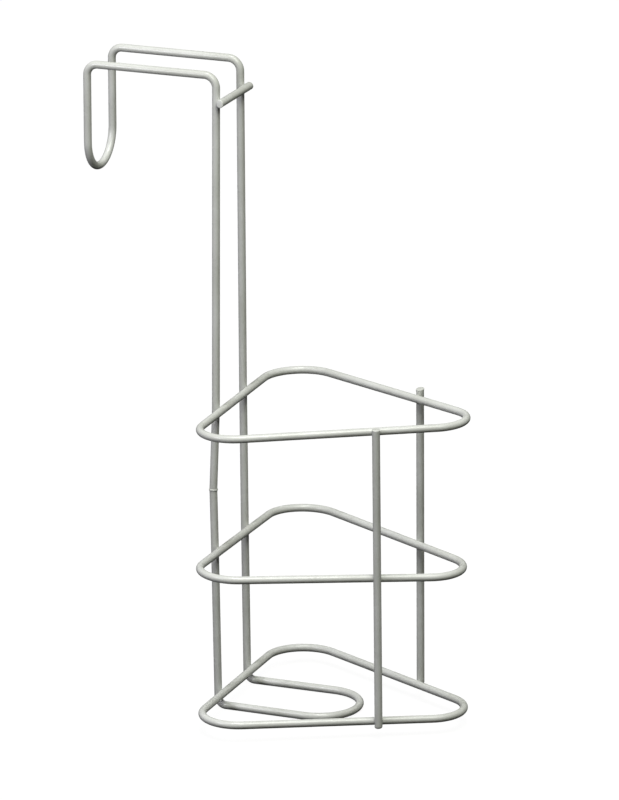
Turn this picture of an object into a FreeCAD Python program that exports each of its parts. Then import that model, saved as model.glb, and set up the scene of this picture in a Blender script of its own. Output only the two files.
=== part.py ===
import FreeCAD, Part
import math
import os
import Sketcher
from FreeCAD import Vector

# Over-the-wall shower caddy, in millimetres. Seven plastic-coated steel wires are resistance
# welded where they cross: a closed hanger frame, three triangular rings, two uprights and a bar.
# +Z is up, +X runs from the wall to the apex of the rings, +Y from the left leg to the right
# leg. The origin is the middle of the footprint, on the surface that the foot loop rests on.
# The frame is bent and welded by hand jigs, so every bend point has its own place.

SIZES = {
    # wire
    "coreRadius": 2.4,
    "coatThickness": 0.25,
    "endRounding": 0.9,
    # spot welds between crossing wires, and butt welds that close the loops
    "nuggetRadius": 1.9,
    "nuggetLength": 2.0,
    "ringButtLength": 1.0,
    "collarRadius": 3.05,
    "collarLength": 1.3,
    "collarRounding": 0.4,
    # ring outline: sharp triangle, and the radius of the corners beside the legs
    "ringHalfWidth": 99.88,
    "ringDepth": 189.2,
    "ringApexY": -0.51,
    "ringLeftRadius": 24.13,
    "ringRightRadius": 26.02,
    # where each ring's base side sits, how it is turned and leans as welded, in degrees, and the
    # radius of its apex
    "topRingX": -33.46,
    "topRingY": -0.56,
    "topRingZ": 211.61,
    "topRingYaw": 0.65,
    "topRingPitch": -1.47,
    "topRingRoll": -1.08,
    "topRingApexRadius": 22.53,
    "middleRingX": -33.28,
    "middleRingY": 2.19,
    "middleRingZ": 113.39,
    "middleRingYaw": -0.98,
    "middleRingPitch": 0.82,
    "middleRingRoll": -1.18,
    "middleRingApexRadius": 24.37,
    "bottomRingX": -32.82,
    "bottomRingY": 1.01,
    "bottomRingZ": 11.73,
    "bottomRingYaw": -0.21,
    "bottomRingPitch": 0.22,
    "bottomRingRoll": -0.67,
    "bottomRingApexRadius": 24.28,
    # hanger frame: hook over the wall
    "runHeight": 442.14,
    "runOuterHeight": 441.41,
    "hookOuterX": -129.87,
    "hookDrop": 75.73,
    "runInnerRadius": 8.28,
    "runOuterRadius": 7.49,
    # hanger frame: left leg, from the run down to the foot, kinked at the butt weld
    "leftTopX": -37.9,
    "leftTopY": -18.45,
    "leftKinkX": -39.79,
    "leftKinkY": -23.65,
    "leftKinkZ": 155.64,
    "leftFootX": -37.62,
    "leftFootY": -22.5,
    "leftUpperY": -22.58,
    "leftLowerY": -24.6,
    # hanger frame: right leg
    "rightTopX": -37.9,
    "rightTopY": 25.07,
    "rightUpperY": 28.64,
    "rightLowerY": 28.08,
    "rightFootX": -37.51,
    "rightFootY": 30.79,
    "legEaseRadius": 260.0,
    # hanger frame: foot loop under the bottom ring
    "footBendRadius": 5.5,
    "footTipX": 52.97,
    "footTipZ": 3.22,
    "footTipLeftY": -25.48,
    "footTipRightY": 29.02,
    # bar that ties the legs under the run
    "barLeftX": -33.1,
    "barLeftY": -24.07,
    "barLeftZ": 424.99,
    "barRightX": -33.1,
    "barRightY": 29.96,
    "barRightZ": 422.83,
    # uprights that tie the rings: plan place at the foot and head, lowest and highest point
    "leftUprightFootX": 85.15,
    "leftUprightFootY": -42.67,
    "leftUprightFootZ": 8.48,
    "leftUprightHeadX": 83.7,
    "leftUprightHeadY": -43.21,
    "leftUprightHeadZ": 217.9,
    "rightUprightFootX": 82.79,
    "rightUprightFootY": 44.61,
    "rightUprightFootZ": 10.7,
    "rightUprightHeadX": 82.47,
    "rightUprightHeadY": 44.23,
    "rightUprightHeadZ": 219.3,
}

SLACK = 0.3  # how far each end of the open hanger wire stops short of the kink, before trimming
TRIM_RADIUS = 4.0  # wider than the coated wire, so a trim goes right through it

doc = FreeCAD.newDocument("ShowerCaddy")
sheet = doc.addObject("Spreadsheet::Sheet", "dims")
for row, (alias, value) in enumerate(SIZES.items(), start=1):
    sheet.set(f"A{row}", alias)
    sheet.set(f"B{row}", str(value))
    sheet.setAlias(f"B{row}", alias)
doc.recompute()


def size(alias):
    """The number that a cell of the sheet holds."""
    return float(sheet.get(alias))


def point(x, y, z):
    return Vector(size(x), size(y), size(z))


# shared shapes


def originPlane(body, role):
    return next(f for f in body.Origin.OriginFeatures if f.Role == role)


def newSketch(body, name, role):
    sketch = body.newObject("Sketcher::SketchObject", name)
    sketch.AttachmentSupport = [(originPlane(body, role), "")]
    sketch.MapMode = "FlatFace"
    return sketch


def bindConstraint(sketch, kind, places, value, formula):
    """Add a constraint that starts at value and follows a formula of the sheet's cells."""
    index = sketch.addConstraint(Sketcher.Constraint(kind, *places, value))
    sketch.setExpression(f"Constraints[{index}]", formula)


def drawCircle(sketch, radius, formula):
    circle = sketch.addGeometry(Part.Circle(Vector(0, 0, 0), Vector(0, 0, 1), radius))
    sketch.addConstraint(Sketcher.Constraint("Coincident", circle, 3, -1, 1))
    bindConstraint(sketch, "Radius", (circle,), radius, formula)


def cornerArc(before, corner, after, radius):
    """Start, middle and end of the arc that rounds a corner."""
    back = (before - corner).normalize()
    ahead = (after - corner).normalize()
    opening = back.getAngle(ahead)
    reach = radius / math.tan(opening / 2)
    inward = (back + ahead).normalize()
    middle = corner + inward * (radius / math.sin(opening / 2) - radius)
    return corner + back * reach, middle, corner + ahead * reach


def uTurnRadius(before, corner, nextCorner, after):
    """Radius at which two rounded corners in a row take up all the wire between them."""
    opening = (before - corner).getAngle(nextCorner - corner)
    nextOpening = (corner - nextCorner).getAngle(after - nextCorner)
    reach = 1 / math.tan(opening / 2) + 1 / math.tan(nextOpening / 2)
    return (nextCorner - corner).Length / reach


def wireRadius(coated):
    radius = size("coreRadius") + (size("coatThickness") if coated else 0.0)
    return radius, "dims.coreRadius" + (" + dims.coatThickness" if coated else "")


def drawRingPath(sketch, ring):
    """Rounded triangle that starts and ends in the middle of its base side."""
    corners = [
        (Vector(0, size("ringHalfWidth"), 0), "0", "dims.ringHalfWidth", "ringRightRadius"),
        (
            Vector(size("ringDepth"), size("ringApexY"), 0),
            "dims.ringDepth",
            "dims.ringApexY",
            f"{ring}ApexRadius",
        ),
        (Vector(0, -size("ringHalfWidth"), 0), "0", "-dims.ringHalfWidth", "ringLeftRadius"),
    ]
    places = [Vector(0, 0, 0)] + [corner[0] for corner in corners] + [Vector(0, 0, 0)]
    start = places[0]
    marks = []
    sides = []
    arcs = []
    for index, (corner, xFormula, yFormula, radius) in enumerate(corners, start=1):
        first, middle, last = cornerArc(
            places[index - 1], corner, places[index + 1], size(radius)
        )
        mark = sketch.addGeometry(Part.Point(corner), True)
        bindConstraint(sketch, "DistanceX", (-1, 1, mark, 1), corner.x, xFormula)
        bindConstraint(sketch, "DistanceY", (-1, 1, mark, 1), corner.y, yFormula)
        marks.append(mark)
        sides.append(sketch.addGeometry(Part.LineSegment(start, first)))
        arcs.append(sketch.addGeometry(Part.Arc(first, middle, last)))
        start = last
    sides.append(sketch.addGeometry(Part.LineSegment(start, places[-1])))
    sketch.addConstraint(Sketcher.Constraint("Coincident", sides[0], 1, -1, 1))
    sketch.addConstraint(Sketcher.Constraint("Coincident", sides[-1], 2, -1, 1))
    for index, arc in enumerate(arcs):
        startOfArc, endOfArc = arcEnds(sketch, arc, sides[index])
        sketch.addConstraint(Sketcher.Constraint("Tangent", sides[index], 2, arc, startOfArc))
        sketch.addConstraint(Sketcher.Constraint("Tangent", arc, endOfArc, sides[index + 1], 1))
        bindConstraint(
            sketch, "Radius", (arc,), size(corners[index][3]), f"dims.{corners[index][3]}"
        )
        sketch.addConstraint(
            Sketcher.Constraint("PointOnObject", marks[index], 1, sides[index])
        )
        sketch.addConstraint(
            Sketcher.Constraint("PointOnObject", marks[index], 1, sides[index + 1])
        )


def arcEnds(sketch, arc, side):
    """Which end of an arc touches the side before it, and which the side after."""
    joint = sketch.getPoint(side, 2)
    if sketch.getPoint(arc, 1).distanceToPoint(joint) < 1e-6:
        return 1, 2
    return 2, 1


# wires before they are cut


def ringWire(name, coated):
    """A whole ring, lying where its base side and its turns put it."""
    body = doc.addObject("PartDesign::Body", f"{name}_{'coated' if coated else 'bare'}")
    path = newSketch(body, f"{body.Name}_path", "XY_Plane")
    drawRingPath(path, name)
    profile = newSketch(body, f"{body.Name}_profile", "XZ_Plane")
    drawCircle(profile, *wireRadius(coated))
    doc.recompute()
    pipe = body.newObject("PartDesign::AdditivePipe", f"{body.Name}_pipe")
    pipe.Profile = profile
    pipe.Spine = (path, [])
    for axis in "XYZ":
        body.setExpression(f"Placement.Base.{axis.lower()}", f"dims.{name}{axis}")
    for turn in ("Yaw", "Pitch", "Roll"):
        body.setExpression(f"Placement.Rotation.{turn}", f"dims.{name}{turn}")
    return body


def straightWire(name, start, end, coated):
    """A cut length of wire; its coating closes over both ends and rounds them."""
    body = doc.addObject("PartDesign::Body", f"{name}_{'coated' if coated else 'bare'}")
    profile = newSketch(body, f"{body.Name}_profile", "XY_Plane")
    drawCircle(profile, *wireRadius(coated))
    pad = body.newObject("PartDesign::Pad", f"{body.Name}_pad")
    pad.Profile = profile
    inset = 0.0 if coated else size("coatThickness")
    pad.Length = (end - start).Length - 2 * inset
    doc.recompute()
    edges = [f"Edge{i}" for i, e in enumerate(pad.Shape.Edges, start=1) if e.isClosed()]
    rounding = body.newObject("PartDesign::Fillet", f"{body.Name}_ends")
    rounding.Base = (pad, edges)
    shrink = "" if coated else " - dims.coatThickness"
    rounding.setExpression("Radius", f"dims.endRounding{shrink}")
    along = (end - start).normalize()
    turn = FreeCAD.Rotation(Vector(0, 0, 1), along)
    body.Placement = FreeCAD.Placement(start + along * inset, turn)
    return body


def roundedWire(points, radii):
    """Straight runs joined by tangent arcs, one radius for each inner point."""
    edges = []
    start = points[0]
    for index, radius in enumerate(radii, start=1):
        first, middle, last = cornerArc(
            points[index - 1], points[index], points[index + 1], radius
        )
        if start.distanceToPoint(first) > 1e-6:
            edges.append(Part.LineSegment(start, first).toShape())
        edges.append(Part.Arc(first, middle, last).toShape())
        start = last
    edges.append(Part.LineSegment(start, points[-1]).toShape())
    return Part.Wire(edges)


def behindRing(ring, y):
    """Bend point of a leg whose bare steel touches a ring's base side from behind, at y."""
    turn = math.radians(size(f"{ring}Yaw"))
    away = math.tan(turn) * (size(y) - size(f"{ring}Y")) + 2 * size("coreRadius")
    return Vector(size(f"{ring}X") - away, size(y), size(f"{ring}Z"))


def hangerPoints():
    """Bend points of the hanger frame, from the butt weld up, over the wall and back round."""
    kink = point("leftKinkX", "leftKinkY", "leftKinkZ")
    leftTop = point("leftTopX", "leftTopY", "runHeight")
    rightTop = point("rightTopX", "rightTopY", "runHeight")
    leftOuter = point("hookOuterX", "leftTopY", "runOuterHeight")
    rightOuter = point("hookOuterX", "rightTopY", "runOuterHeight")
    drop = Vector(0, 0, -size("hookDrop"))
    footZ = size("coreRadius") + size("coatThickness")
    return [
        kink,
        behindRing("topRing", "leftUpperY"),
        leftTop,
        leftOuter,
        leftOuter + drop,
        rightOuter + drop,
        rightOuter,
        rightTop,
        behindRing("topRing", "rightUpperY"),
        behindRing("middleRing", "rightLowerY"),
        Vector(size("rightFootX"), size("rightFootY"), footZ),
        point("footTipX", "footTipRightY", "footTipZ"),
        point("footTipX", "footTipLeftY", "footTipZ"),
        Vector(size("leftFootX"), size("leftFootY"), footZ),
        behindRing("middleRing", "leftLowerY"),
        kink,
    ]


def hangerPath():
    points = hangerPoints()
    ease = size("legEaseRadius")
    hookTurn = uTurnRadius(*points[3:7])
    footTurn = uTurnRadius(*points[10:14])
    radii = [
        ease,
        size("runInnerRadius"),
        size("runOuterRadius"),
        hookTurn,
        hookTurn,
        size("runOuterRadius"),
        size("runInnerRadius"),
        ease,
        ease,
        size("footBendRadius"),
        footTurn,
        footTurn,
        size("footBendRadius"),
        ease,
    ]
    up = (points[1] - points[0]).normalize()
    down = (points[-2] - points[-1]).normalize()
    points[0] = points[0] + up * SLACK
    points[-1] = points[-1] + down * SLACK
    path = doc.addObject("Part::Feature", "hanger_path")
    path.Shape = roundedWire(points, radii)
    return path, up, down


def hangerWire(path, start, along, coated):
    """The one wire of the hanger frame, swept round its bends."""
    suffix = "coated" if coated else "bare"
    circle = doc.addObject("Part::Circle", f"hanger_profile_{suffix}")
    circle.setExpression("Radius", wireRadius(coated)[1])
    circle.Placement = FreeCAD.Placement(start, FreeCAD.Rotation(Vector(0, 0, 1), along))
    sweep = doc.addObject("Part::Sweep", f"hanger_{suffix}")
    sweep.Sections = [circle]
    sweep.Spine = (path, [f"Edge{i + 1}" for i in range(len(path.Shape.Edges))])
    sweep.Solid = True
    sweep.Frenet = False
    return sweep


# welds


def nearestPoints(lineA, lineB):
    """The two points where a pair of straight wires come closest."""
    directionA = (lineA[1] - lineA[0]).normalize()
    directionB = (lineB[1] - lineB[0]).normalize()
    between = lineB[0] - lineA[0]
    across = directionA.dot(directionB)
    scale = 1 - across * across
    alongA = (between.dot(directionA) - between.dot(directionB) * across) / scale
    alongB = (between.dot(directionA) * across - between.dot(directionB)) / scale
    return lineA[0] + directionA * alongA, lineB[0] + directionB * alongB


def cylinderOn(name, middle, along, radius, length, radiusFormula, lengthFormula):
    """A cylinder centred on a point, lying along a direction."""
    cylinder = doc.addObject("Part::Cylinder", name)
    cylinder.Radius = radius
    cylinder.Height = length
    if radiusFormula:
        cylinder.setExpression("Radius", radiusFormula)
    cylinder.setExpression("Height", lengthFormula)
    along = Vector(along).normalize()
    turn = FreeCAD.Rotation(Vector(0, 0, 1), along)
    cylinder.Placement = FreeCAD.Placement(middle - along * (length / 2), turn)
    return cylinder


def spotWeld(name, lineA, lineB):
    """Nugget of fused steel between two crossing wires, let into both of them."""
    onA, onB = nearestPoints(lineA, lineB)
    return cylinderOn(
        name,
        (onA + onB) / 2,
        onB - onA,
        size("nuggetRadius"),
        size("nuggetLength"),
        "dims.nuggetRadius",
        "dims.nuggetLength",
    )


def group(name, pieces):
    """Separate solids of one node."""
    compound = doc.addObject("Part::Compound", name)
    compound.Links = pieces
    return compound


def cutBy(name, base, tool):
    cut = doc.addObject("Part::Cut", name)
    cut.Base = base
    cut.Tool = tool
    return cut


# the caddy

RINGS = ["topRing", "middleRing", "bottomRing"]
NODE_OF_RING = {"topRing": "top_ring", "middleRing": "middle_ring", "bottomRing": "bottom_ring"}

bare = {}
coated = {}
for ring in RINGS:
    bare[NODE_OF_RING[ring]] = ringWire(ring, False)
    coated[NODE_OF_RING[ring]] = ringWire(ring, True)

STRAIGHTS = {
    "left_upright": (
        point("leftUprightFootX", "leftUprightFootY", "leftUprightFootZ"),
        point("leftUprightHeadX", "leftUprightHeadY", "leftUprightHeadZ"),
    ),
    "right_upright": (
        point("rightUprightFootX", "rightUprightFootY", "rightUprightFootZ"),
        point("rightUprightHeadX", "rightUprightHeadY", "rightUprightHeadZ"),
    ),
    "cross_bar": (
        point("barLeftX", "barLeftY", "barLeftZ"),
        point("barRightX", "barRightY", "barRightZ"),
    ),
}
for name, (start, end) in STRAIGHTS.items():
    bare[name] = straightWire(name, start, end, False)
    coated[name] = straightWire(name, start, end, True)

hangerSpine, hangerUp, hangerDown = hangerPath()
bendPoints = hangerPoints()
hangerStart = bendPoints[0] + hangerUp * SLACK
bare["hanger_frame"] = hangerWire(hangerSpine, hangerStart, hangerUp, False)
coated["hanger_frame"] = hangerWire(hangerSpine, hangerStart, hangerUp, True)
doc.recompute()


def ringLine(ring, first, second):
    """A side of a ring between two of its sharp corners, where the ring lies."""
    halfWidth = size("ringHalfWidth")
    corners = {
        "left": Vector(0, -halfWidth, 0),
        "right": Vector(0, halfWidth, 0),
        "apex": Vector(size("ringDepth"), size("ringApexY"), 0),
    }
    place = bare[NODE_OF_RING[ring]].Placement
    return place.multVec(corners[first]), place.multVec(corners[second])


# the straight run of each leg that a ring or the bar crosses
LEG_RUNS = {
    "left": {
        "topRing": (bendPoints[1], bendPoints[2]),
        "middleRing": (bendPoints[14], bendPoints[13]),
        "bottomRing": (bendPoints[14], bendPoints[13]),
    },
    "right": {
        "topRing": (bendPoints[7], bendPoints[8]),
        "middleRing": (bendPoints[9], bendPoints[10]),
        "bottomRing": (bendPoints[9], bendPoints[10]),
    },
}

welds = {}
for ring in RINGS:
    base = ringLine(ring, "left", "right")
    welds[f"{NODE_OF_RING[ring]}_leg_welds"] = [
        spotWeld(f"{ring}_{side}_leg_nugget", LEG_RUNS[side][ring], base)
        for side in ("left", "right")
    ]
for side in ("left", "right"):
    welds[f"{side}_upright_welds"] = [
        spotWeld(
            f"{side}_upright_{ring}_nugget",
            STRAIGHTS[f"{side}_upright"],
            ringLine(ring, side, "apex"),
        )
        for ring in RINGS
    ]
welds["cross_bar_welds"] = [
    spotWeld(f"{side}_bar_nugget", LEG_RUNS[side]["topRing"], STRAIGHTS["cross_bar"])
    for side in ("left", "right")
]

# each ring's two ends meet in the middle of its base side, dressed flush and coated over
buttPieces = []
buttCuts = {}
for ring in RINGS:
    body = bare[NODE_OF_RING[ring]]
    along = body.Placement.Rotation.multVec(Vector(0, 1, 0))
    middle = body.Placement.Base
    length = size("ringButtLength")
    lengthCell = "dims.ringButtLength"
    buttPieces.append(
        cylinderOn(
            f"{ring}_butt", middle, along, size("coreRadius"), length, "dims.coreRadius", lengthCell
        )
    )
    buttCuts[NODE_OF_RING[ring]] = cylinderOn(
        f"{ring}_butt_trim", middle, along, TRIM_RADIUS, length, "", lengthCell
    )
welds["ring_butt_welds"] = buttPieces

# the hanger's two ends meet at the kink, where the upset metal stands proud as a rounded collar
collarAlong = hangerUp - hangerDown
collarBlank = cylinderOn(
    "collar_blank",
    bendPoints[0],
    collarAlong,
    size("collarRadius"),
    size("collarLength"),
    "dims.collarRadius",
    "dims.collarLength",
)
collarTrim = cylinderOn(
    "collar_trim",
    bendPoints[0],
    collarAlong,
    TRIM_RADIUS,
    size("collarLength"),
    "",
    "dims.collarLength",
)
doc.recompute()
collar = doc.addObject("Part::Fillet", "hanger_butt_collar")
collar.Base = collarBlank
rounding = size("collarRounding")
collar.Edges = [
    (index, rounding, rounding)
    for index, edge in enumerate(collarBlank.Shape.Edges, start=1)
    if edge.isClosed()
]
welds["hanger_butt_weld"] = [collar]

WELDS_ON = {
    "hanger_frame": [f"{NODE_OF_RING[ring]}_leg_welds" for ring in RINGS] + ["cross_bar_welds"],
    "left_upright": ["left_upright_welds"],
    "right_upright": ["right_upright_welds"],
    "cross_bar": ["cross_bar_welds"],
}
for ring in RINGS:
    WELDS_ON[NODE_OF_RING[ring]] = [
        f"{NODE_OF_RING[ring]}_leg_welds",
        "left_upright_welds",
        "right_upright_welds",
    ]

nodes = {}
for name, pieces in welds.items():
    nodes[name] = group(f"{name}_node", pieces)
for name, steel in bare.items():
    nuggets = [piece for weld in WELDS_ON[name] for piece in welds[weld]]
    trims = []
    if name == "hanger_frame":
        trims = [collarTrim]
    elif name in buttCuts:
        trims = [buttCuts[name]]
    coreTools = group(f"{name}_core_tools", nuggets + trims)
    coatTools = group(
        f"{name}_coat_tools", nuggets + ([collarTrim] if name == "hanger_frame" else [])
    )
    nodes[f"{name}_steel"] = cutBy(f"{name}_steel_node", steel, coreTools)
    jacket = cutBy(f"{name}_jacket", coated[name], steel)
    nodes[f"{name}_coating"] = cutBy(f"{name}_coating_node", jacket, coatTools)
for name, node in nodes.items():
    node.Label = name
doc.recompute()

# checks and files

for item in doc.Objects:
    if "Invalid" in item.State or "Error" in item.State:
        raise RuntimeError(f"{item.Name} failed: {item.State}")
os.makedirs("parts", exist_ok=True)
for name, node in nodes.items():
    shape = node.Shape
    if shape.isNull() or not shape.isValid() or shape.Volume <= 0:
        raise RuntimeError(f"{name} is not a sound solid")
    shape.exportStep(f"parts/{name}.step")
    print(f"{name}: {len(shape.Solids)} solids, {shape.Volume:.1f} mm3")
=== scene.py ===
import math

import bpy
from mathutils import Euler, Matrix, Vector


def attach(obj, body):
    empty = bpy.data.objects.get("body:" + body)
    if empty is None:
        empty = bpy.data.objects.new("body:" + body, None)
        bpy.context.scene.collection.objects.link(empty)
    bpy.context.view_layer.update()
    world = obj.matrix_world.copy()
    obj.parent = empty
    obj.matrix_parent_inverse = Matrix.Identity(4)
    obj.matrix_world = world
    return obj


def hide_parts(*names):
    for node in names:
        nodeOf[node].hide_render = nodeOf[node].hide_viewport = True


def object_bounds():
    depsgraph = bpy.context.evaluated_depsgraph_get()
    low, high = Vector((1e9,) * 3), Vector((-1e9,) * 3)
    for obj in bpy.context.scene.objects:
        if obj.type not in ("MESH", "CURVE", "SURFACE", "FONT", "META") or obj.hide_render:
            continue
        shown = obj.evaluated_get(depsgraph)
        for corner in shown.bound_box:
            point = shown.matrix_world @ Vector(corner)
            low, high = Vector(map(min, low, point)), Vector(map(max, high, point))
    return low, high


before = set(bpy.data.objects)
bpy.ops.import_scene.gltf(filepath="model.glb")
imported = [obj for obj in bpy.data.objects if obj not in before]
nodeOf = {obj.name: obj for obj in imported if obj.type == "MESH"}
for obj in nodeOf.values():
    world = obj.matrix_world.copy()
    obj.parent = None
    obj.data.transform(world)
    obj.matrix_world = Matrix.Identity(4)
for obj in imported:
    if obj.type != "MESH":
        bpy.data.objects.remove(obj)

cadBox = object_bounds()
mm = 0.001


# helpers for modelling


def point(x, y, z):
    return Vector((x, y, z)) * mm


def deselectAll():
    if bpy.context.object and bpy.context.object.mode != "OBJECT":
        bpy.ops.object.mode_set(mode="OBJECT")
    bpy.ops.object.select_all(action="DESELECT")


def activate(piece):
    deselectAll()
    piece.select_set(True)
    bpy.context.view_layer.objects.active = piece


def settle(piece, name):
    # origin to the frame's origin, unturned and unscaled
    activate(piece)
    piece.name = name
    piece.data.name = name
    bpy.ops.object.transform_apply(location=True, rotation=True, scale=True)


def finishMesh(creaseAngle):
    # faces turned outwards and shaded smooth, from edit mode back to object mode
    bpy.ops.mesh.select_all(action="SELECT")
    bpy.ops.mesh.normals_make_consistent(inside=False)
    bpy.ops.object.mode_set(mode="OBJECT")
    bpy.ops.object.shade_smooth_by_angle(angle=math.radians(creaseAngle))


def bendPlaces(before, corner, after, radius):
    # where a bend starts, the point it turns round, its axis and how far it turns
    back = (before - corner).normalized()
    ahead = (after - corner).normalized()
    opening = back.angle(ahead)
    start = corner + back * (radius / math.tan(opening / 2))
    centre = corner + (back + ahead).normalized() * (radius / math.sin(opening / 2))
    return start, centre, (-back).cross(ahead).normalized(), math.pi - opening


def sharedRadius(before, corner, nextCorner, after):
    # radius at which two bends in a row take up all the wire between them
    opening = (before - corner).angle(nextCorner - corner)
    nextOpening = (corner - nextCorner).angle(after - nextCorner)
    reach = 1 / math.tan(opening / 2) + 1 / math.tan(nextOpening / 2)
    return (nextCorner - corner).length / reach


wireStock = {
    "coatedRadius": 2.65 * mm,
    "weldedApart": 4.8 * mm,  # between the axes of two welded wires, core touching core
    "sides": 28,
    "stepAngle": 6.0,  # degrees of bend per ring of faces
    "creaseAngle": 40.0,  # degrees, past which an edge stays sharp
    "samePlace": 1e-6,  # metres between points that are one
    "shortest": 1e-7,  # metres of wire worth drawing out
    "rimSegments": 4,  # of the rounding at a cut end
    "spare": 6 * mm,  # left at each end of a straight wire before it is cut
}


def startWire(place, along):
    deselectAll()
    bpy.ops.mesh.primitive_circle_add(
        vertices=wireStock["sides"],
        radius=wireStock["coatedRadius"],
        fill_type="NOTHING",
        location=place,
        rotation=along.to_track_quat("Z", "Y").to_euler(),
    )
    wire = bpy.context.object
    bpy.ops.object.transform_apply(location=True, rotation=True, scale=True)
    bpy.ops.object.mode_set(mode="EDIT")
    bpy.ops.mesh.select_mode(type="VERT")
    bpy.ops.mesh.select_all(action="SELECT")
    return wire


def drawOut(step):
    if step.length > wireStock["shortest"]:
        bpy.ops.mesh.extrude_region_move(TRANSFORM_OT_translate={"value": step})


def bendWire(name, points, radii, closed):
    # the wire is drawn along each run and bent round each corner, as on a former
    wire = startWire(points[0], points[1] - points[0])
    here = points[0]
    for index, radius in enumerate(radii, start=1):
        start, centre, axis, turn = bendPlaces(
            points[index - 1], points[index], points[index + 1], radius
        )
        drawOut(start - here)
        steps = max(2, math.ceil(math.degrees(turn) / wireStock["stepAngle"]))
        # spin turns against the right-hand rule
        bpy.ops.mesh.spin(steps=steps, angle=-turn, center=centre, axis=axis)
        here = centre + Matrix.Rotation(turn, 3, axis) @ (start - centre)
    drawOut(points[-1] - here)
    if closed:
        bpy.ops.mesh.select_all(action="SELECT")
        bpy.ops.mesh.remove_doubles(threshold=wireStock["samePlace"])
    else:
        bpy.ops.mesh.edge_face_add()
        bpy.ops.mesh.select_all(action="DESELECT")
        bpy.ops.mesh.select_non_manifold()
        bpy.ops.mesh.edge_face_add()
    finishMesh(wireStock["creaseAngle"])
    settle(wire, name)
    return wire


# rings

# sharp triangle before its corners are rounded, and the radius of the corners by the legs, in mm
ringShape = {
    "halfWidth": 99.88,
    "depth": 189.2,
    "apexY": -0.51,
    "leftRadius": 24.13,
    "rightRadius": 26.02,
}

# middle of the base side and radius of the apex in mm, and how the ring is turned in degrees
ringPlaces = {
    "topRing": {
        "place": (-33.46, -0.56, 211.61),
        "yaw": 0.65,
        "pitch": -1.47,
        "roll": -1.08,
        "apexRadius": 22.53,
    },
    "middleRing": {
        "place": (-33.28, 2.19, 113.39),
        "yaw": -0.98,
        "pitch": 0.82,
        "roll": -1.18,
        "apexRadius": 24.37,
    },
    "bottomRing": {
        "place": (-32.82, 1.01, 11.73),
        "yaw": -0.21,
        "pitch": 0.22,
        "roll": -0.67,
        "apexRadius": 24.28,
    },
}


def makeRing(name, lie):
    turns = [math.radians(lie[key]) for key in ("roll", "pitch", "yaw")]
    lean = Euler(turns).to_matrix()
    base = point(*lie["place"])
    outline = [
        (0, 0),
        (0, ringShape["halfWidth"]),
        (ringShape["depth"], ringShape["apexY"]),
        (0, -ringShape["halfWidth"]),
        (0, 0),
    ]
    corners = [base + lean @ point(x, y, 0) for x, y in outline]
    radii = [ringShape["rightRadius"], lie["apexRadius"], ringShape["leftRadius"]]
    return bendWire(name, corners, [radius * mm for radius in radii], True)


rings = {name: makeRing(name, lie) for name, lie in ringPlaces.items()}
print("rings bent")


# hanger frame

# in mm: where the legs bend at the run, at the two upper rings and at the foot, and then the
# hook and the tip of the foot loop
hangerShape = {
    "kink": (-39.79, -23.65, 155.64),  # where the wire's two ends meet, in the left leg
    "topX": -37.9,
    "leftTopY": -18.45,
    "rightTopY": 25.07,
    "leftUpperY": -22.58,
    "rightUpperY": 28.64,
    "leftLowerY": -24.6,
    "rightLowerY": 28.08,
    "leftFoot": (-37.62, -22.5),
    "rightFoot": (-37.51, 30.79),
    "runHeight": 442.14,
    "runOuterHeight": 441.41,
    "hookOuterX": -129.87,
    "hookDrop": 75.73,
    "footTipX": 52.97,
    "footTipLeftY": -25.48,
    "footTipRightY": 29.02,
    "footTipZ": 3.22,
}
# radius of each kind of bend in mm
hangerBends = {
    "ease": 260.0,  # slight bends in the legs
    "inner": 8.28,
    "outer": 7.49,
    "foot": 5.5,
    "weldGap": 0.1,  # the wire's two ends stop short of each other inside the weld collar
}


def behindRing(ring, y):
    # where a leg is welded to the back of a ring's base side
    lie = ringPlaces[ring]
    x, middle, z = lie["place"]
    slant = math.tan(math.radians(lie["yaw"])) * (y - middle)
    return point(x - slant, y, z) - Vector((wireStock["weldedApart"], 0, 0))


def hangerPoints():
    # bend points in the order in which the wire runs, from its weld up the left leg and round
    shape = hangerShape
    kink = point(*shape["kink"])
    leftTop = point(shape["topX"], shape["leftTopY"], shape["runHeight"])
    rightTop = point(shape["topX"], shape["rightTopY"], shape["runHeight"])
    leftOuter = point(shape["hookOuterX"], shape["leftTopY"], shape["runOuterHeight"])
    rightOuter = point(shape["hookOuterX"], shape["rightTopY"], shape["runOuterHeight"])
    drop = point(0, 0, -shape["hookDrop"])
    lift = Vector((0, 0, wireStock["coatedRadius"]))
    return [
        kink,
        behindRing("topRing", shape["leftUpperY"]),
        leftTop,
        leftOuter,
        leftOuter + drop,
        rightOuter + drop,
        rightOuter,
        rightTop,
        behindRing("topRing", shape["rightUpperY"]),
        behindRing("middleRing", shape["rightLowerY"]),
        point(*shape["rightFoot"], 0) + lift,
        point(shape["footTipX"], shape["footTipRightY"], shape["footTipZ"]),
        point(shape["footTipX"], shape["footTipLeftY"], shape["footTipZ"]),
        point(*shape["leftFoot"], 0) + lift,
        behindRing("middleRing", shape["leftLowerY"]),
        kink.copy(),
    ]


def makeHanger():
    places = hangerPoints()
    gap = hangerBends["weldGap"] * mm
    ease, inner, outer, foot = [hangerBends[k] * mm for k in ("ease", "inner", "outer", "foot")]
    loop = sharedRadius(*places[3:7])
    tip = sharedRadius(*places[10:14])
    radii = [ease, inner, outer, loop, loop, outer, inner, ease, ease, foot, tip, tip, foot, ease]
    places[0] += (places[1] - places[0]).normalized() * gap
    places[-1] += (places[-2] - places[-1]).normalized() * gap
    return bendWire("hangerFrame", places, radii, False)


hanger = makeHanger()
print("hanger frame bent")


# uprights and cross bar

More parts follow.
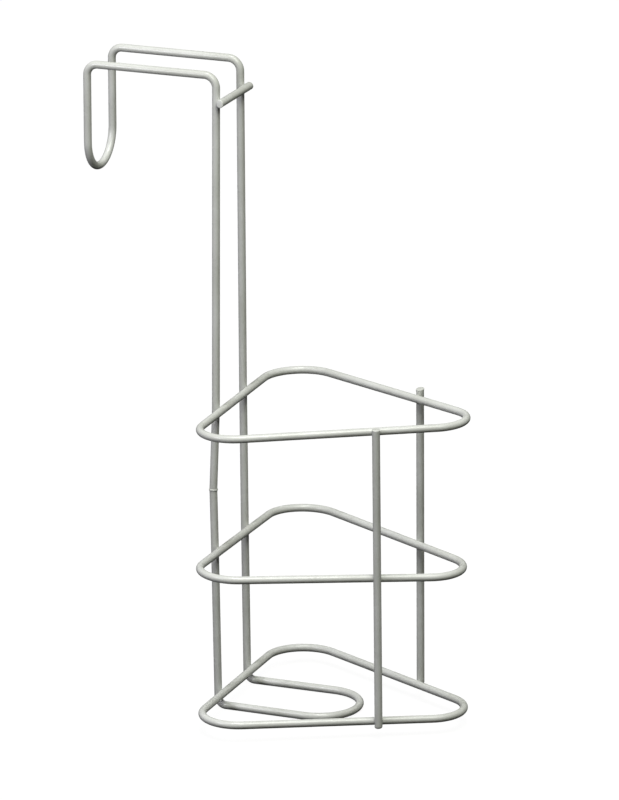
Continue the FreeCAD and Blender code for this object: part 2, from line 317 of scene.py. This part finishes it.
# each cut end: how many degrees its shear face leans off square and towards where, its rounding
# and how far it stands past the end in mm, and the burr: how much wider the rim is, and over what
# length in mm it widens
cutWires = {
    "leftUpright": {
        "low": (85.15, -42.67, 8.48),
        "high": (83.7, -43.21, 217.9),
        "lowCut": {
            "lean": 4,
            "towards": (1, -0.4, 0),
            "rounding": 1.2,
            "proud": 0.3,
            "burr": 1.0,
            "burrLength": 2,
        },
        "highCut": {
            "lean": 3,
            "towards": (0.3, -1, 0),
            "rounding": 0.3,
            "proud": 0.15,
            "burr": 1.05,
            "burrLength": 1.4,
        },
    },
    "rightUpright": {
        "low": (82.79, 44.61, 10.7),
        "high": (82.47, 44.23, 219.3),
        "lowCut": {
            "lean": 3,
            "towards": (1, 0.5, 0),
            "rounding": 0.6,
            "proud": 0.2,
            "burr": 1.0,
            "burrLength": 2,
        },
        "highCut": {
            "lean": 9,
            "towards": (-0.5, -0.9, 0),
            "rounding": 0.3,
            "proud": 0.4,
            "burr": 1.07,
            "burrLength": 2,
        },
    },
    "crossBar": {
        "low": (-33.1, -24.07, 424.99),
        "high": (-33.1, 29.96, 422.83),
        "lowCut": {
            "lean": 16,
            "towards": (-1, 0, 0.3),
            "rounding": 0.5,
            "proud": 0.8,
            "burr": 1.03,
            "burrLength": 2,
        },
        "highCut": {
            "lean": 8,
            "towards": (0.2, 0, 1),
            "rounding": 0.5,
            "proud": 0.3,
            "burr": 1.0,
            "burrLength": 2,
        },
    },
}


def cutEnd(wire, place, outward, cut):
    # the bar is sheared through, and the coating rounds the cut's rim
    towards = Vector(cut["towards"]).normalized()
    face = (outward + towards * math.tan(math.radians(cut["lean"]))).normalized()
    tip = place + outward * cut["proud"] * mm
    bpy.ops.mesh.select_all(action="SELECT")
    bpy.ops.mesh.bisect(plane_co=tip - outward * cut["burrLength"] * mm, plane_no=face)
    bpy.ops.mesh.select_all(action="SELECT")
    bpy.ops.mesh.bisect(plane_co=tip, plane_no=face, use_fill=True, clear_outer=True)
    bpy.ops.mesh.select_mode(type="FACE")
    bpy.ops.transform.resize(value=[cut["burr"]] * 3)
    bpy.ops.mesh.bevel(
        offset=cut["rounding"] * mm, segments=wireStock["rimSegments"], affect="EDGES"
    )
    bpy.ops.mesh.select_mode(type="VERT")


def makeCutWire(name, shape):
    low = point(*shape["low"])
    high = point(*shape["high"])
    along = (high - low).normalized()
    spare = along * wireStock["spare"]
    wire = startWire(low - spare, along)
    drawOut(high - low + spare * 2)
    cutEnd(wire, low, -along, shape["lowCut"])
    cutEnd(wire, high, along, shape["highCut"])
    finishMesh(wireStock["creaseAngle"])
    settle(wire, name)
    return wire


straights = {name: makeCutWire(name, shape) for name, shape in cutWires.items()}
print("uprights and cross bar cut")


# webs of coating in the corners of the welds

webShape = {
    "length": 9.0,
    "sides": 48,
    "voxel": 0.22,
    "sunk": 0.1,  # how far the web lies inside both wires, away from the contact
    "smoothing": 4,
    "smoothingFactor": 0.5,
    "waistReach": 3.2,  # from the contact along the wires, where the web ends
    "waistHeight": 2.0,  # from the contact across both wires
    "creaseAngle": 50.0,
    "weldSpacing": 10.0,  # welds of one node lie further apart than this, in mm
}


def makeWeb():
    # two short wires cross and are melted together, which leaves a fillet round the contact
    deselectAll()
    half = wireStock["weldedApart"] / 2
    for turn, height in (((0, 90, 0), half), ((90, 0, 0), -half)):
        bpy.ops.mesh.primitive_cylinder_add(
            vertices=webShape["sides"],
            radius=wireStock["coatedRadius"] - webShape["sunk"] * mm,
            depth=webShape["length"] * mm,
            location=(0, 0, height),
            rotation=[math.radians(a) for a in turn],
        )
        if height == half:
            first = bpy.context.object
    first.select_set(True)
    bpy.ops.object.join()
    web = bpy.context.object
    settle(web, "web")
    melt = web.modifiers.new("melt", "REMESH")
    melt.mode = "VOXEL"
    melt.voxel_size = webShape["voxel"] * mm
    bpy.ops.object.modifier_apply(modifier="melt")
    flow = web.modifiers.new("flow", "SMOOTH")
    flow.factor = webShape["smoothingFactor"]
    flow.iterations = webShape["smoothing"]
    bpy.ops.object.modifier_apply(modifier="flow")
    # only the waist is kept: the rest lies inside the wires
    bpy.ops.object.mode_set(mode="EDIT")
    for side in ((1, 0, 0), (-1, 0, 0), (0, 1, 0), (0, -1, 0), (0, 0, 1), (0, 0, -1)):
        out = Vector(side)
        reach = webShape["waistReach"] if side[2] == 0 else webShape["waistHeight"]
        bpy.ops.mesh.select_all(action="SELECT")
        bpy.ops.mesh.bisect(
            plane_co=out * reach * mm, plane_no=out, use_fill=True, clear_outer=True
        )
    finishMesh(webShape["creaseAngle"])
    return web


webMaster = makeWeb()


def weldCentres(node, axis):
    # middle of each separate weld of a CAD node, told apart along one axis
    places = sorted((v.co.copy() for v in nodeOf[node].data.vertices), key=lambda p: p[axis])
    groups = [[places[0]]]
    for place in places[1:]:
        if place[axis] - groups[-1][-1][axis] > webShape["weldSpacing"] * mm:
            groups.append([])
        groups[-1].append(place)
    centres = []
    for group in groups:
        low = Vector(min(p[i] for p in group) for i in range(3))
        high = Vector(max(p[i] for p in group) for i in range(3))
        centres.append((low + high) / 2)
    return centres


# the ways in which the two slanting sides of a ring face inwards
ringSide = math.atan2(ringShape["halfWidth"], ringShape["depth"])
leftInwards = Vector((-math.sin(ringSide), math.cos(ringSide), 0))
rightInwards = Vector((-math.sin(ringSide), -math.cos(ringSide), 0))
upwards = Vector((0, 0, 1))

# for each weld node: axis that tells its welds apart, way across the weld, way along one wire
weldPlan = {
    "top_ring_leg_welds": (1, Vector((1, 0, 0)), upwards),
    "middle_ring_leg_welds": (1, Vector((1, 0, 0)), upwards),
    "bottom_ring_leg_welds": (1, Vector((1, 0, 0)), upwards),
    "left_upright_welds": (2, leftInwards, upwards),
    "right_upright_welds": (2, rightInwards, upwards),
    "cross_bar_welds": (1, Vector((1, 0, 0)), upwards),
}


def placeWebs():
    webs = []
    for node, (axis, across, along) in weldPlan.items():
        for number, centre in enumerate(weldCentres(node, axis), start=1):
            activate(webMaster)
            bpy.ops.object.duplicate(linked=False)
            web = bpy.context.object
            sideways = across.cross(along)
            turn = Matrix((along, sideways, -across)).transposed()
            if turn.determinant() < 0:
                turn = Matrix((along, -sideways, -across)).transposed()
            web.matrix_world = Matrix.Translation(centre) @ turn.to_4x4()
            settle(web, f"{node.replace('_welds', '')}_web_{number}")
            webs.append(web)
    return webs


webs = placeWebs()
bpy.data.objects.remove(webMaster, do_unlink=True)
print("coating webs placed:", len(webs))


# materials


def linear(hexColour):
    # sRGB hex to the linear values that shaders take
    channels = [int(hexColour[i : i + 2], 16) / 255 for i in (1, 3, 5)]
    return [c / 12.92 if c <= 0.04045 else ((c + 0.055) / 1.055) ** 2.4 for c in channels] + [1.0]


def addNode(tree, kind, settings=None, links=None):
    node = tree.nodes.new(kind)
    for key, value in (settings or {}).items():
        if key in node.inputs.keys():
            node.inputs[key].default_value = value
        else:
            setattr(node, key, value)
    for key, source in (links or {}).items():
        tree.links.new(source, node.inputs[key])
    return node


def newMaterial(name):
    material = bpy.data.materials.new(name)
    material.use_nodes = True
    material.node_tree.nodes.clear()
    return material, material.node_tree


coatLook = {
    "colour": "#d3d4d1",
    "thin": "#c5c6c1",
    "roughness": (0.2, 0.34),  # between the swells, and on them
    "flowSize": 7.0,  # mm between the slow swells that the molten coat leaves
    "peelSize": 1.1,  # mm between the dimples of orange peel
    "cloudSize": 38.0,  # mm between places where the coat ran thin
    "swellHeight": 0.2,  # mm
    "dimpleDepth": 0.04,  # mm
    "ior": 1.5,
}


def dippedCoat():
    # polyethylene dip coat on wire: fused in an oven, so it is satin with soft swells,
    # a faint orange peel, and slightly greyer where it ran thin over the steel
    material, tree = newMaterial("satinDipCoat")
    place = addNode(tree, "ShaderNodeTexCoord")
    objectPlace = place.outputs["Object"]
    flow = addNode(
        tree,
        "ShaderNodeTexNoise",
        {"Scale": 1 / (coatLook["flowSize"] * mm), "Detail": 2.0, "Roughness": 0.5},
        {"Vector": objectPlace},
    )
    peel = addNode(
        tree,
        "ShaderNodeTexNoise",
        {"Scale": 1 / (coatLook["peelSize"] * mm), "Detail": 3.0, "Roughness": 0.55},
        {"Vector": objectPlace},
    )
    cloud = addNode(
        tree,
        "ShaderNodeTexNoise",
        {"Scale": 1 / (coatLook["cloudSize"] * mm), "Detail": 4.0, "Roughness": 0.6},
        {"Vector": objectPlace},
    )
    spread = addNode(
        tree,
        "ShaderNodeMapRange",
        {"From Min": 0.35, "From Max": 0.65, "To Min": 0.0, "To Max": 1.0},
        {"Value": cloud.outputs["Fac"]},
    )
    colour = addNode(tree, "ShaderNodeMix", {"data_type": "RGBA"})
    colour.inputs[6].default_value = linear(coatLook["colour"])
    colour.inputs[7].default_value = linear(coatLook["thin"])
    tree.links.new(spread.outputs["Result"], colour.inputs[0])
    gloss = addNode(
        tree,
        "ShaderNodeMapRange",
        {
            "From Min": 0.3,
            "From Max": 0.7,
            "To Min": coatLook["roughness"][0],
            "To Max": coatLook["roughness"][1],
        },
        {"Value": flow.outputs["Fac"]},
    )
    swells = addNode(
        tree,
        "ShaderNodeBump",
        {"Strength": 0.3, "Distance": coatLook["swellHeight"] * mm},
        {"Height": flow.outputs["Fac"]},
    )
    dimples = addNode(
        tree,
        "ShaderNodeBump",
        {"Strength": 0.2, "Distance": coatLook["dimpleDepth"] * mm},
        {"Height": peel.outputs["Fac"], "Normal": swells.outputs["Normal"]},
    )
    shader = addNode(
        tree,
        "ShaderNodeBsdfPrincipled",
        {"IOR": coatLook["ior"]},
        {
            "Base Color": colour.outputs[2],
            "Roughness": gloss.outputs["Result"],
            "Normal": dimples.outputs["Normal"],
        },
    )
    addNode(tree, "ShaderNodeOutputMaterial", None, {"Surface": shader.outputs["BSDF"]})
    return material


steelLook = {
    "colour": "#8f8f92",
    "roughness": (0.24, 0.46),  # in the marks of the die, and between them
    "drawLine": 0.6,  # mm between the marks of the die
    "lineDepth": 0.02,  # mm
}


def drawnSteel():
    # cold-drawn mild steel wire: grey, with fine lines from the die
    material, tree = newMaterial("drawnSteel")
    place = addNode(tree, "ShaderNodeTexCoord")
    lines = addNode(
        tree,
        "ShaderNodeTexNoise",
        {"Scale": 1 / (steelLook["drawLine"] * mm), "Detail": 4.0},
        {"Vector": place.outputs["Object"]},
    )
    gloss = addNode(
        tree,
        "ShaderNodeMapRange",
        {"To Min": steelLook["roughness"][0], "To Max": steelLook["roughness"][1]},
        {"Value": lines.outputs["Fac"]},
    )
    bump = addNode(
        tree,
        "ShaderNodeBump",
        {"Strength": 0.3, "Distance": steelLook["lineDepth"] * mm},
        {"Height": lines.outputs["Fac"]},
    )
    shader = addNode(
        tree,
        "ShaderNodeBsdfPrincipled",
        {"Base Color": linear(steelLook["colour"]), "Metallic": 1.0},
        {"Roughness": gloss.outputs["Result"], "Normal": bump.outputs["Normal"]},
    )
    addNode(tree, "ShaderNodeOutputMaterial", None, {"Surface": shader.outputs["BSDF"]})
    return material


floorLook = {
    "matt": "#4e4e4d",
    "glowColour": "#ffffff",
    "glow": 0.945,  # with the lamps on the matt it comes to white; brighter would eat thin wires
    "bounce": 0.03,  # share of the light that the floor sends back up to the wires
    "grainSize": 25.0,  # mm
    "roughness": (0.85, 0.95),
}


def paleFloor():
    # backlit matt sweep: an even near-white to look at, made so that little light comes back up
    material, tree = newMaterial("paleSweep")
    place = addNode(tree, "ShaderNodeTexCoord")
    grain = addNode(
        tree,
        "ShaderNodeTexNoise",
        {"Scale": 1 / (floorLook["grainSize"] * mm), "Detail": 3.0},
        {"Vector": place.outputs["Object"]},
    )
    gloss = addNode(
        tree,
        "ShaderNodeMapRange",
        {"To Min": floorLook["roughness"][0], "To Max": floorLook["roughness"][1]},
        {"Value": grain.outputs["Fac"]},
    )
    seen = addNode(
        tree,
        "ShaderNodeBsdfPrincipled",
        {
            "Base Color": linear(floorLook["matt"]),
            "Specular IOR Level": 0.0,
            "Emission Color": linear(floorLook["glowColour"]),
            "Emission Strength": floorLook["glow"],
        },
        {"Roughness": gloss.outputs["Result"]},
    )
    bounce = addNode(
        tree, "ShaderNodeBsdfDiffuse", {"Color": [floorLook["bounce"]] * 3 + [1.0]}
    )
    path = addNode(tree, "ShaderNodeLightPath")
    mixed = addNode(
        tree, "ShaderNodeMixShader", None, {"Fac": path.outputs["Is Camera Ray"]}
    )
    tree.links.new(bounce.outputs["BSDF"], mixed.inputs[1])
    tree.links.new(seen.outputs["BSDF"], mixed.inputs[2])
    addNode(tree, "ShaderNodeOutputMaterial", None, {"Surface": mixed.outputs["Shader"]})
    return material


coat = dippedCoat()
steel = drawnSteel()
coatedPieces = [hanger, *rings.values(), *straights.values(), *webs]
for piece in coatedPieces:
    piece.data.materials.clear()
    piece.data.materials.append(coat)

for name, node in nodeOf.items():
    finish = coat if name.endswith("_coating") or name == "hanger_butt_weld" else steel
    for slot in node.material_slots:
        slot.material = finish
print("materials made")


# what each piece stands for

standsFor = {
    hanger: "hanger_frame_coating",
    rings["topRing"]: "top_ring_coating",
    rings["middleRing"]: "middle_ring_coating",
    rings["bottomRing"]: "bottom_ring_coating",
    straights["leftUpright"]: "left_upright_coating",
    straights["rightUpright"]: "right_upright_coating",
    straights["crossBar"]: "cross_bar_coating",
}
for piece in coatedPieces:
    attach(piece, "root")
for piece, node in standsFor.items():
    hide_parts(node)


# floor, lights and camera

stageSet = {
    "floorSize": 40.0,
    "floorGap": 0.02 * mm,  # the floor lies just under the foot loop
    "lampDistance": 3.0,  # a sun shines alike from any distance
    "worldColour": (0.066, 0.068, 0.056),
    # azimuth (0 is in front of -Y), elevation, angle the light fills, strength, hex colour
    "leftLight": (-20, 66, 30, 0.7, "#f7f6ff"),
    "rightLight": (54, 62, 30, 1.15, "#fafdf3"),
    "topLight": (10, 82, 14, 1.15, "#ffffff"),
    # place in mm, the point it faces, side of the lamp, power, hex colour
    "leftSoftbox": ((-560, -800, 760), (-60, 0, 260), 300, 4.4, "#f7f6ff"),
    "frontSoftbox": ((300, -520, 980), (-40, 0, 240), 300, 2.4, "#fbfff0"),
}

deselectAll()
bpy.ops.mesh.primitive_plane_add(
    size=stageSet["floorSize"], location=(0, 0, cadBox[0][2] - stageSet["floorGap"])
)
floor = bpy.context.object
settle(floor, "floor")
floor.data.materials.append(paleFloor())


def aimLamp(name, towards, colour):
    # the lamp just added is turned so that it shines back along towards
    lamp = bpy.context.object
    lamp.name = name
    lamp.rotation_euler = towards.to_track_quat("Z", "Y").to_euler()
    lamp.data.color = linear(colour)[:3]
    return lamp


def addSoftLight(name, azimuth, elevation, width, strength, colour):
    # a far, wide light, so the whole floor is lit alike
    around = math.radians(azimuth)
    up = math.radians(elevation)
    towards = Vector(
        (math.sin(around) * math.cos(up), -math.cos(around) * math.cos(up), math.sin(up))
    )
    bpy.ops.object.light_add(type="SUN", location=towards * stageSet["lampDistance"])
    lamp = aimLamp(name, towards, colour)
    lamp.data.angle = math.radians(width)
    lamp.data.energy = strength


def addNearLight(name, place, facing, side, power, colour):
    # a close lamp, so what is near it is lit more than the far side
    towards = point(*place) - point(*facing)
    bpy.ops.object.light_add(type="AREA", location=point(*place))
    lamp = aimLamp(name, towards, colour)
    lamp.data.shape = "SQUARE"
    lamp.data.size = side * mm
    lamp.data.energy = power


addNearLight("leftSoftbox", *stageSet["leftSoftbox"])
addNearLight("frontSoftbox", *stageSet["frontSoftbox"])
addSoftLight("leftLight", *stageSet["leftLight"])
addSoftLight("rightLight", *stageSet["rightLight"])
addSoftLight("topLight", *stageSet["topLight"])

world = bpy.data.worlds.new("studio")
world.use_nodes = True
world.node_tree.nodes["Background"].inputs["Color"].default_value = [*stageSet["worldColour"], 1]
bpy.context.scene.world = world
bpy.context.scene.view_settings.view_transform = "Standard"

# place, lens and sensor in mm, angles in degrees
cameraSet = {
    "place": (2082.07, -5371.64, 2111.72),
    "azimuth": 20.999,
    "elevation": 18.216,
    "roll": -0.198,
    "lens": 408.81,
    "sensorWidth": 36,
    "sees": 100,  # metres
}


def addCamera():
    around = math.radians(cameraSet["azimuth"])
    up = math.radians(cameraSet["elevation"])
    roll = math.radians(cameraSet["roll"])
    look = Vector(
        (-math.sin(around) * math.cos(up), math.cos(around) * math.cos(up), -math.sin(up))
    )
    right = look.cross(upwards).normalized()
    top = right.cross(look)
    rolledRight = right * math.cos(roll) + top * math.sin(roll)
    rolledTop = top * math.cos(roll) - right * math.sin(roll)
    bpy.ops.object.camera_add(location=point(*cameraSet["place"]))
    camera = bpy.context.object
    camera.rotation_euler = Matrix((rolledRight, rolledTop, -look)).transposed().to_euler()
    camera.data.sensor_width = cameraSet["sensorWidth"]
    camera.data.lens = cameraSet["lens"]
    camera.data.clip_end = cameraSet["sees"]
    bpy.context.scene.camera = camera


addCamera()
print("stage set")
